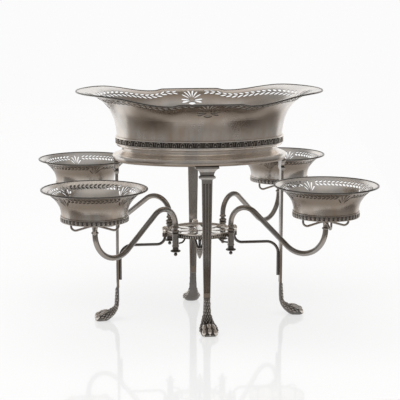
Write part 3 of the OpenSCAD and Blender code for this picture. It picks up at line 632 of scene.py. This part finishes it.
# %% Rim wire of the large basket
WIRE, WIRE_SIDES = 1.1, 12
SEAM = 0.1
rim = bmesh.new()
wire_x, wire_z = LIP_LENGTH + WIRE + SEAM, LIP_Z + SHEET / 2
turns = [math.tau * k / WIRE_SIDES for k in range(WIRE_SIDES)]
section = [(wire_x + WIRE * math.cos(a), wire_z + WIRE * math.sin(a)) for a in turns]
spin_oval(rim, closed_line(rim, section))
for v in rim.verts:
    x, y, z = (c / MM for c in v.co)
    turn, out = oval_read(x, y)
    beyond = RING_LENGTH + out - LIP_LENGTH
    place = oval_point(turn, border_out(turn, LIP_LENGTH) + beyond)
    set_on_oval(v, place, z + edge_wave(turn))
piece("main_rim_wire", rim, "main_basket", rim_silver, ["main_rim"])

# %% [markdown]
# ## Egg ornament on the large basket's foot
# A band of eggs in arches runs round the foot, over a blackened field. One egg, its arch and the dart
# beside it are a few dozen faces; the same shape is set round the oval at even steps.

# %% One egg, arch and dart
BAND_OUT, BAND_Z, BAND_HALF = -4.7, 244.1, 3.2
EGGS = 56
ARCH_R, ARCH_TUBE, ARCH_LEGS = 2.6, 0.6, 3.2
ARCH_SIDES, ARCH_STEPS, DART_SIDES = 6, 8, 4
EGG_HALF, EGG_DROP = (0.6, 0.9, 1.5), 1.2
DART_FOOT, DART_HEAD, DART_LENGTH, DART_SIDE = 0.2, 0.55, 5.4, 5.2
PROUD = 0.1


def ball(bm, half, place, across=8, down=6):
    """A stretched ball with these half sizes in mm, set at a place."""
    made = bmesh.ops.create_uvsphere(bm, u_segments=across, v_segments=down, radius=MM)["verts"]
    bmesh.ops.transform(bm, matrix=place @ Matrix.Diagonal((*half, 1)), verts=made)


def egg_unit(bm):
    """One unit of the band, facing +X, with its middle at the origin."""
    ring = bmesh.ops.create_circle(bm, segments=ARCH_SIDES, radius=ARCH_TUBE * MM)["verts"]
    bmesh.ops.translate(bm, verts=ring, vec=(0, ARCH_R * MM, 0))
    edges = list({e for v in ring for e in v.link_edges})
    bmesh.ops.spin(bm, geom=ring + edges, cent=(0, 0, 0), axis=(1, 0, 0), angle=math.pi, steps=ARCH_STEPS)
    feet = [e for e in bm.edges if e.is_boundary]
    legs = bmesh.ops.extrude_edge_only(bm, edges=feet)["geom"]
    soles = [v for v in legs if isinstance(v, bmesh.types.BMVert)]
    bmesh.ops.translate(bm, verts=soles, vec=(0, 0, -ARCH_LEGS * MM))
    ball(bm, EGG_HALF, at(PROUD, 0, -EGG_DROP))
    dart = bmesh.ops.create_cone(bm, cap_ends=True, segments=DART_SIDES, radius1=DART_FOOT * MM,
                                 radius2=DART_HEAD * MM, depth=DART_LENGTH * MM)["verts"]
    bmesh.ops.translate(bm, verts=dart, vec=(PROUD * MM, DART_SIDE * MM, 0))


unit = bmesh.new()
egg_unit(unit)
egg_mesh = bpy.data.meshes.new("egg_unit")
unit.to_mesh(egg_mesh)
unit.free()
print("one egg unit has", len(egg_mesh.polygons), "faces")


# %% Eggs round the oval
def round_oval(bm, mesh, count, out, z):
    """Sets copies of a mesh at even steps round the oval, facing out."""
    end, side = 2 * MEET * (END_ARC + out), (math.pi - 2 * MEET) * (SIDE_ARC + out)
    total = 2 * (end + side)
    for k in range(count):
        run = total * k / count + end / 2
        turn = -MEET
        for length, angle in ((end, 2 * MEET), (side, math.pi - 2 * MEET)) * 3:
            if run <= length:
                turn += angle * run / length
                break
            run -= length
            turn += angle
        place = oval_point(turn, out)
        start = len(bm.verts)
        bm.from_mesh(mesh)
        bm.verts.ensure_lookup_table()
        bmesh.ops.transform(bm, matrix=at(place.x, place.y, z) @ turned(turn), verts=bm.verts[start:])


eggs = bmesh.new()
round_oval(eggs, egg_mesh, EGGS, BAND_OUT, BAND_Z)
piece("egg_ornament", eggs, "main_basket", stand_silver)

# %% Field behind the eggs
FIELD_SUNK, FIELD_PROUD = 0.3, 0.06
field_in, field_out = RING_LENGTH + BAND_OUT - FIELD_SUNK, RING_LENGTH + BAND_OUT + FIELD_PROUD
field_low, field_high = BAND_Z - BAND_HALF, BAND_Z + BAND_HALF
field = bmesh.new()
spin_oval(field, closed_line(field, [(field_in, field_low), (field_out, field_low),
                                     (field_out, field_high), (field_in, field_high)]))
piece("egg_field", field, "main_basket", oxide_silver)

# %% [markdown]
# ## Pierced borders of the small baskets
# The small borders are round, so their section is spun once about the basket's axis. They are sawn like the
# large one, with laurel leaves that all turn the same way and four palmettes. One border is made and copied
# to each basket, turned as the baskets stand in the photograph.

# %% Places of the small baskets
CORNERS = ["back_right", "back_left", "front_left", "front_right"]
BASKET_TURN = {"back_right": 62.5, "back_left": 103, "front_left": 221, "front_right": 282.5}


def basket_middle(corner):
    """The middle of a small basket, at the bottom of its foot."""
    low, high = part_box("small_foot_" + corner)
    return Vector(((low.x + high.x) / 2, (low.y + high.y) / 2, low.z))


print("small baskets:", [tuple(round(c, 3) for c in basket_middle(corner)) for corner in CORNERS])

# %% Section of a small border
TOP_R, TOP_Z, SMALL_LIP_R, SMALL_LIP_Z = 44.2, 21, 63.5, 38.5
FLARE_ANGLE, ROUND_STEPS = math.radians(60), 120
chord = Vector((SMALL_LIP_R - TOP_R, SMALL_LIP_Z - TOP_Z))
flare_turn = 2 * (FLARE_ANGLE - heading(chord))
flare_r = chord.length / (2 * math.sin(flare_turn / 2))
flare_middle = Vector((TOP_R, TOP_Z)) + flare_r * Vector((math.sin(FLARE_ANGLE), -math.cos(FLARE_ANGLE)))


def flare_line(r, steps=12):
    """Points on the flare's arc at this radius, from the bowl to the lip."""
    angles = [math.pi / 2 + FLARE_ANGLE - flare_turn * i / steps for i in range(steps + 1)]
    return [flare_middle + r * Vector((math.cos(a), math.sin(a))) for a in angles]


def spin_round(bm, line, steps):
    """Spins a closed line once round the Z axis."""
    bmesh.ops.spin(bm, geom=line, cent=(0, 0, 0), axis=(0, 0, 1), angle=math.tau, steps=steps,
                   use_merge=True)


flare = bmesh.new()
line = closed_line(flare, flare_line(flare_r) + flare_line(flare_r + SHEET)[::-1])
spin_round(flare, line, ROUND_STEPS)
print("flare turns by", round(math.degrees(flare_turn)), "degrees")

# %% Saw the small borders
CHAIN_R, SMALL_PAIRS, MARGIN = 54.2, 13, math.radians(9.2)
SMALL_LEAF_LENGTH, SMALL_SPREAD, SMALL_STEM = 6.2, math.radians(32), 0.3
SMALL_WIDTH = 2.5
PALMETTE_L, PALMETTE_PETALS, PALMETTE_TURN = 13.5, 5, math.radians(52)
# Petals start at a share of their length from the root, and the outer ones are shorter by another share
PALMETTE_OUT, PALMETTE_START, OUTER_SHORTER = 0.5, 0.2, 0.3
small_pitch = (math.pi / 2 - 2 * MARGIN) / SMALL_PAIRS
saws = bmesh.new()
for k in range(4):
    for j in range(SMALL_PAIRS):
        spot = turned(k * math.pi / 2 - MARGIN - j * small_pitch) @ at(CHAIN_R, 0, 0) @ turned(-math.pi / 2)
        for side in (-1, 1):
            leaf = spot @ turned(side * SMALL_SPREAD) @ at(SMALL_STEM, 0, 0)
            cutter(saws, SMALL_LEAF_LENGTH, SMALL_WIDTH, leaf)
    root = turned(k * math.pi / 2) @ at(TOP_R + PALMETTE_OUT, 0, 0)
    for j in range(PALMETTE_PETALS):
        share = 2 * j / (PALMETTE_PETALS - 1) - 1
        petal = PALMETTE_L * (1 - OUTER_SHORTER * share * share)
        spot = root @ turned(share * PALMETTE_TURN) @ at(PALMETTE_START * petal, 0, 0)
        cutter(saws, (1 - PALMETTE_START) * petal, SMALL_WIDTH, spot, pointed=False)
small_border = piece("small_border_pierced", flare, "small_basket_" + CORNERS[0], border_silver,
                     ["small_border_" + CORNERS[0]])
finish_outside(small_border, dull_silver)
saw(small_border, saws)

# %% Set the small borders on their baskets
shared = small_border.data
for corner in CORNERS:
    mesh = shared.copy()
    spot = Matrix.Translation(basket_middle(corner))
    mesh.transform(spot @ turned(math.radians(BASKET_TURN[corner])))
    if corner == CORNERS[0]:
        small_border.data = mesh
        continue
    twin = bpy.data.objects.new("small_border_pierced_" + corner, mesh)
    bpy.context.scene.collection.objects.link(twin)
    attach(twin, "small_basket_" + corner)
    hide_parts("small_border_" + corner)
print("small borders set on", len(CORNERS), "baskets")

# %% [markdown]
# ## Fluted feet of the small baskets
# The foot of each small basket has a close row of upright ribs over a dark ground. Each rib is a stretched
# ball, half sunk in the band.

# %% Fluted feet of the small baskets
RIBS = 46
RIB_HALF, RIB_SUNK, RIB_LEVEL = (0.85, 2.0, 2.7), 0.65, 0.44
FOOT_R, FOOT_H = 42, 7.2
GROUND_SUNK, GROUND_LOW, GROUND_HIGH = 0.52, 1.3, 5.9
BAND_T, BAND_STEPS = 0.3, 96


def spun_band(bm, r, low, high, middle):
    """A thin upright band round a place."""
    line = closed_line(bm, [(r - BAND_T, low), (r, low), (r, high), (r - BAND_T, high)])
    spin_round(bm, line, BAND_STEPS)
    bmesh.ops.translate(bm, verts=bm.verts, vec=middle)


for corner in CORNERS:
    middle = basket_middle(corner)
    rib = at(FOOT_R - RIB_SUNK, 0, RIB_LEVEL * FOOT_H)
    row = bmesh.new()
    for k in range(RIBS):
        ball(row, RIB_HALF, Matrix.Translation(middle) @ turned(math.tau * k / RIBS) @ rib)
    piece("foot_ribs_" + corner, row, "small_basket_" + corner, chased_silver)
    ground = bmesh.new()
    spun_band(ground, FOOT_R - GROUND_SUNK, GROUND_LOW, GROUND_HIGH, middle)
    piece("foot_ground_" + corner, ground, "small_basket_" + corner, deep_silver)

# %% [markdown]
# ## Beaded edge of the plate
# The edge of the centre plate is cast with a row of slanted beads, dark between them. Each bead is a leaning
# stretched ball, half sunk in the edge, which takes few faces and still catches the light.

# %% Beaded edge of the plate
BEADS = 86
BEAD_HALF, BEAD_SUNK, BEAD_SLANT = (0.75, 1.2, 2.6), 0.55, math.radians(12)
PLATE_R, PLATE_MIDDLE = 45, 119.25
PLATE_GROUND_SUNK, PLATE_GROUND_HALF = 0.35, 2.1
edge = bmesh.new()
bead = at(PLATE_R - BEAD_SUNK, 0, PLATE_MIDDLE) @ turned(BEAD_SLANT, "X")
for k in range(BEADS):
    ball(edge, BEAD_HALF, turned(math.tau * k / BEADS) @ bead)
piece("plate_beads", edge, "stand", chased_silver)
ground = bmesh.new()
spun_band(ground, PLATE_R - PLATE_GROUND_SUNK, PLATE_MIDDLE - PLATE_GROUND_HALF,
          PLATE_MIDDLE + PLATE_GROUND_HALF, Vector())
piece("plate_ground", ground, "stand", oxide_silver)

# %% [markdown]
# ## Paws
# The feet are cast as lion's paws. The CAD paw gives the mass of the foot. Three toes sit on it, each with
# a long back, a tip and a claw. They are stretched balls, because a caster's toes are round on all sides,
# and balls that run into each other leave the creases that make a paw.

# %% Toes
SIDES = ["right", "back", "left", "front"]
LEG_FACE = {"right": 112.5, "back": 74.5, "left": 112.5, "front": 74.5}
TOE_START, TOE_PITCH, TOE_SPLAY, OUTER_LOWER = 8, 4.0, math.radians(10), 1.2
BACK_HALF_SIZE, BACK_SPOT, BACK_TILT = (7.5, 3.0, 3.2), (9.8, 0, 11.0), math.radians(14)
TIP_HALF_SIZE, TIP_SPOT, TIP_TILT = (4.6, 3.1, 4.0), (17.6, 0, 6.6), math.radians(40)
CLAW_HALF_SIZE, CLAW_SPOT = (1.3, 1, 1.6), (20.7, 0, 3.4)


def toes(bm, foot):
    """Three toes that spread from the middle one, which stands a little higher."""
    for k in (-1, 0, 1):
        toe = foot @ at(TOE_START, TOE_PITCH * k, -OUTER_LOWER * abs(k)) @ turned(TOE_SPLAY * k)
        ball(bm, BACK_HALF_SIZE, toe @ at(*BACK_SPOT) @ turned(BACK_TILT, "Y"), across=12, down=8)
        ball(bm, TIP_HALF_SIZE, toe @ at(*TIP_SPOT) @ turned(TIP_TILT, "Y"), across=12, down=8)
        ball(bm, CLAW_HALF_SIZE, toe @ at(*CLAW_SPOT))


print("toes on", len(SIDES), "paws")

# %% [markdown]
# The ankle is covered with fur in rows of upright tufts. Each row is shifted by half a tuft against the
# next, as roof tiles are, so that no gap runs down. The ankle is an oval in plan that grows downwards, and
# each row is set out on an oval of its own.

# %% Tufts round the ankle
TUFT_ROWS, TUFT_TOP, TUFT_PITCH = 6, 41.5, 4.2
TUFT_HALF, TUFT_TURN, TUFT_LEAN = (1.1, 1.15, 2.8), math.radians(40), math.radians(-14)
PAW_TOP, ANKLE_H = 45, 28
# The oval's middle and half sizes at the top of the ankle, and what they gain downwards
ANKLE_MIDDLE, ANKLE_FORWARD = -1.3, 1.6
ANKLE_DEPTH, ANKLE_DEEPER = 1.9, 0.4
ANKLE_WIDTH, ANKLE_WIDER = 3.5, 1.1
ODD_ROW, EVEN_ROW = (-2, -1, 0, 1, 2), (-1.5, -0.5, 0.5, 1.5)


def tufts(bm, foot):
    """Rows of upright tufts on the front and the sides of the ankle."""
    for row in range(TUFT_ROWS):
        z = TUFT_TOP - TUFT_PITCH * row
        swell = (PAW_TOP - z) / ANKLE_H
        middle = ANKLE_MIDDLE + ANKLE_FORWARD * swell
        depth, width = ANKLE_DEPTH + ANKLE_DEEPER * swell, ANKLE_WIDTH + ANKLE_WIDER * swell
        for k in ODD_ROW if row % 2 else EVEN_ROW:
            turn = TUFT_TURN * k
            spot = foot @ at(middle + depth * math.cos(turn), width * math.sin(turn), z)
            ball(bm, TUFT_HALF, spot @ turned(turn) @ turned(TUFT_LEAN, "Y"))


print("tufts in", TUFT_ROWS, "rows")

# %% [markdown]
# Curls of fur lie flat along the foot. They have to follow its skin, and the CAD paw is drawn through a row
# of rounded sections. Those of the foot are repeated here, so that a point of the skin can be found between
# two of them. Two more points beside it tell which way the curl has to lie.

# %% Curls along the foot
# The CAD paw's sections from the ankle to the toes, as heel (x, z), instep (x, z) and half width in mm
PAW_SECTIONS = [((-2.7, 19.4), (1.8, 21.6), 5.5), ((-0.9, 13.5), (3.9, 17.1), 6.7),
                ((2.4, 8.1), (6.9, 14.9), 8.3), ((6.3, 4.1), (11.4, 14), 9.9),
                ((10.2, 0.9), (15.9, 13.5), 11.3), ((14.1, -1.4), (20.4, 12.6), 11.5),
                ((18.9, -1.8), (24.6, 10.8), 11.3)]
CURL_ROWS, CURL_FIRST, CURL_PITCH = 9, 0.2, 0.66
CURLS_ROUND, CURL_TURN, CURL_START = 8, math.radians(26), math.radians(14)
CURL_HALF = (2.3, 1.15, 1.2)
# From this section on the toes cover the top of the foot, where the sine of the angle is over TOES_ABOVE
TOES_FROM, TOES_ABOVE = 2.5, 0.6
CURL_LOWEST, NEAR = 2, 0.1


def on_paw(row, angle):
    """A point on the paw's skin, in mm.

    row counts the sections from the ankle, and the angle runs from one side over the instep to the other.
    """
    low = min(int(row), len(PAW_SECTIONS) - 2)
    up = 0.5 + 0.5 * math.sin(angle)
    ends = []
    for heel, instep, half in PAW_SECTIONS[low:low + 2]:
        x = heel[0] + (instep[0] - heel[0]) * up
        z = heel[1] + (instep[1] - heel[1]) * up
        ends.append(Vector((x, half * math.cos(angle), z)))
    return ends[0].lerp(ends[1], row - low)


def curls(bm, foot):
    """Curls that lie flat on the skin and point to the toes."""
    for step in range(CURL_ROWS):
        row = CURL_FIRST + CURL_PITCH * step
        for k in range(CURLS_ROUND):
            angle = CURL_TURN * (k + 0.5 * (step % 2)) - CURL_START
            spot = on_paw(row, angle)
            under_toes = row > TOES_FROM and math.sin(angle) > TOES_ABOVE
            if under_toes or spot.z < CURL_LOWEST:
                continue
            flow = (on_paw(row + NEAR, angle) - spot).normalized()
            out = flow.cross(on_paw(row, angle + NEAR) - spot).normalized()
            lie = Matrix((flow, out.cross(flow), out)).transposed().to_4x4()
            ball(bm, CURL_HALF, foot @ at(*spot) @ lie)


print("curls in", CURL_ROWS, "rows")

# %% Set the toes and the fur on the feet
COLLAR_HALF, COLLAR_SPOT = (2.3, 5.1, 0.9), (-1.5, 0, 44.8)
for i, side in enumerate(SIDES):
    foot = turned(i * math.pi / 2) @ at(LEG_FACE[side], 0, 0)
    paw = bmesh.new()
    toes(paw, foot)
    piece("paw_toes_" + side, paw, "stand", paw_silver)
    coat = bmesh.new()
    tufts(coat, foot)
    curls(coat, foot)
    ball(coat, COLLAR_HALF, foot @ at(*COLLAR_SPOT), across=16, down=8)
    piece("paw_fur_" + side, coat, "stand", chased_silver)

# %% [markdown]
# ## Pine cone under the plate
# The pendant ends in a small pine cone. Its scales are flat balls in rings that get smaller downwards.

# %% Scales of the pine cone
CONE_TOP, CONE_H, CONE_R = 96.4, 14, 4.0
# The outline is a stretch of half a sine wave, made fuller by a power below 1
OUTLINE_START, OUTLINE_SPAN, OUTLINE_POWER = 0.34, 0.6, 0.8
SCALE_RINGS, SCALES, SCALE_TILT = 6, 8, math.radians(12)
SCALE_DEPTH, SCALE_HEIGHT, SCALE_WIDTH, SCALE_WIDER = 0.5, 1.5, 0.3, 0.3
cone = bmesh.new()
for ring in range(SCALE_RINGS):
    share = (ring + 0.5) / SCALE_RINGS
    r = CONE_R * math.sin(math.pi * (OUTLINE_START + OUTLINE_SPAN * share)) ** OUTLINE_POWER
    scale = (SCALE_DEPTH, SCALE_WIDTH + SCALE_WIDER * r, SCALE_HEIGHT)
    for k in range(SCALES):
        spot = turned(math.tau * (k + 0.5 * (ring % 2)) / SCALES) @ at(r, 0, CONE_TOP - share * CONE_H)
        ball(cone, scale, spot @ turned(SCALE_TILT, "Y"))
piece("cone_scales", cone, "stand", chased_silver)

# %% [markdown]
# ## Studio
# Silver shows its surroundings. In the photograph a white backdrop stands behind the piece and the room in
# front of it is dim, so the middle of each round form is grey and its edges are white. The world is painted
# that way by direction: white behind, a softer light overhead, and dim elsewhere.

# %% World
WHITE = (0.965, 0.965, 0.965, 1)
ROOM_DIM, ROOM_LIGHT, CEILING = (0.26, 0.25, 0.24, 1), (0.32, 0.31, 0.30, 1), (0.5, 0.49, 0.48, 1)
ROOM_NOISE, ROOM_RANGE = (2.4, 2.0, (1, 1, 0.2)), (0.34, 0.68)
# The backdrop stands turned a little to the left, and narrows upwards
BACKDROP_TURN, BACKDROP_EDGE = 0.11, (0.26, 0.30)
NARROWING, NARROWING_HEIGHTS = 0.5, (0.1, 0.5)
CEILING_HEIGHTS = (0.8, 0.96)
world = bpy.data.worlds.new("studio")
world.use_nodes = True
bpy.context.scene.world = world
look = Wire(world.node_tree).node("ShaderNodeTexCoord", output="Generated")
right_of_lens = look.node("ShaderNodeSeparateXYZ", None, {0: look}, output="X")
ahead_of_lens = look.node("ShaderNodeSeparateXYZ", None, {0: look}, output="Y")
height = look.node("ShaderNodeSeparateXYZ", None, {0: look}, output="Z")
room = look.noise(*ROOM_NOISE).steps(*ROOM_RANGE).mix(ROOM_DIM, ROOM_LIGHT)
backdrop = ahead_of_lens - BACKDROP_TURN * right_of_lens - NARROWING * height.steps(*NARROWING_HEIGHTS)
behind = backdrop.steps(*BACKDROP_EDGE)
overhead = height.steps(*CEILING_HEIGHTS).mix(room, CEILING)
colour = behind.mix(overhead, WHITE)
world_shader = world.node_tree.nodes["Background"]
feed(world_shader, "Color", colour)
world_shader.inputs["Strength"].default_value = 1
print("world painted by direction")

# %% [markdown]
# ## Floor
# The piece stands on a glossy sheet of white paper that is wide behind and narrow in front of the piece,
# where it ends just outside the picture. To the lens and in reflections most of the paper's light is plain
# white, as in an overexposed product photograph. The rest is lit by the lamp, so the shadow and the
# reflection stay.

# %% Floor
FRONT_HALF, BACK_HALF, PAPER_FRONT, PAPER_BACK = 0.3, 0.9, -0.37, 3.0
PAPER_BELOW = 0.0002
sheet = bmesh.new()
bmesh.ops.create_grid(sheet, x_segments=1, y_segments=1, size=1)
for v in sheet.verts:
    v.co.x *= BACK_HALF if v.co.y > 0 else FRONT_HALF
bmesh.ops.scale(sheet, verts=sheet.verts, vec=(1, (PAPER_BACK - PAPER_FRONT) / 2, 1))
bmesh.ops.translate(sheet, verts=sheet.verts, vec=(0, (PAPER_BACK + PAPER_FRONT) / 2, -PAPER_BELOW))
mesh = bpy.data.meshes.new("floor")
sheet.to_mesh(mesh)
sheet.free()
floor = bpy.data.objects.new("floor", mesh)
bpy.context.scene.collection.objects.link(floor)
print("paper", 2 * FRONT_HALF, "m wide in front and", round(PAPER_BACK - PAPER_FRONT, 2), "m long")

# %% Paper
PAPER_COLOUR = (0.95, 0.95, 0.95, 1)
GLOSS = {"Roughness": 0.1, "IOR": 1.35, "Coat Weight": 1, "Coat Roughness": 0.02}
PLAIN_WHITE = 0.65
paper = bpy.data.materials.new("white_paper")
paper.use_nodes = True
paper_shader = paper.node_tree.nodes["Principled BSDF"]
paper_shader.inputs["Base Color"].default_value = PAPER_COLOUR
for name, value in GLOSS.items():
    paper_shader.inputs[name].default_value = value
start = Wire(paper.node_tree)
seen = start.node("ShaderNodeLightPath", output="Is Camera Ray")
for path in ("Is Glossy Ray", "Is Transmission Ray"):
    seen = seen + start.node("ShaderNodeLightPath", output=path)
glow = start.node("ShaderNodeEmission", None, {"Color": WHITE, "Strength": 1})
lit = Wire(paper.node_tree, paper_shader.outputs[0])
both = start.node("ShaderNodeMixShader", None, {0: PLAIN_WHITE * seen, 1: lit, 2: glow})
feed(paper.node_tree.nodes["Material Output"], "Surface", both)
mesh.materials.append(paper)
print("made", paper.name)

# %% [markdown]
# ## Lamp
# A sun lamp with a disc a quarter turn wide gives the paper an even light and the piece a soft shadow. It
# isn't seen in the silver, which shows only the paper and the room.

# %% Lamp
LAMP_STRENGTH, LAMP_SPREAD = 2.5, math.radians(90)
LAMP_TILT = (math.radians(20), math.radians(-12), 0)
sun = bpy.data.lights.new("soft_lamp", "SUN")
sun.energy = LAMP_STRENGTH
sun.angle = LAMP_SPREAD
lamp = bpy.data.objects.new("soft_lamp", sun)
lamp.rotation_euler = LAMP_TILT
lamp.visible_glossy = False
bpy.context.scene.collection.objects.link(lamp)
print("lamp in place")
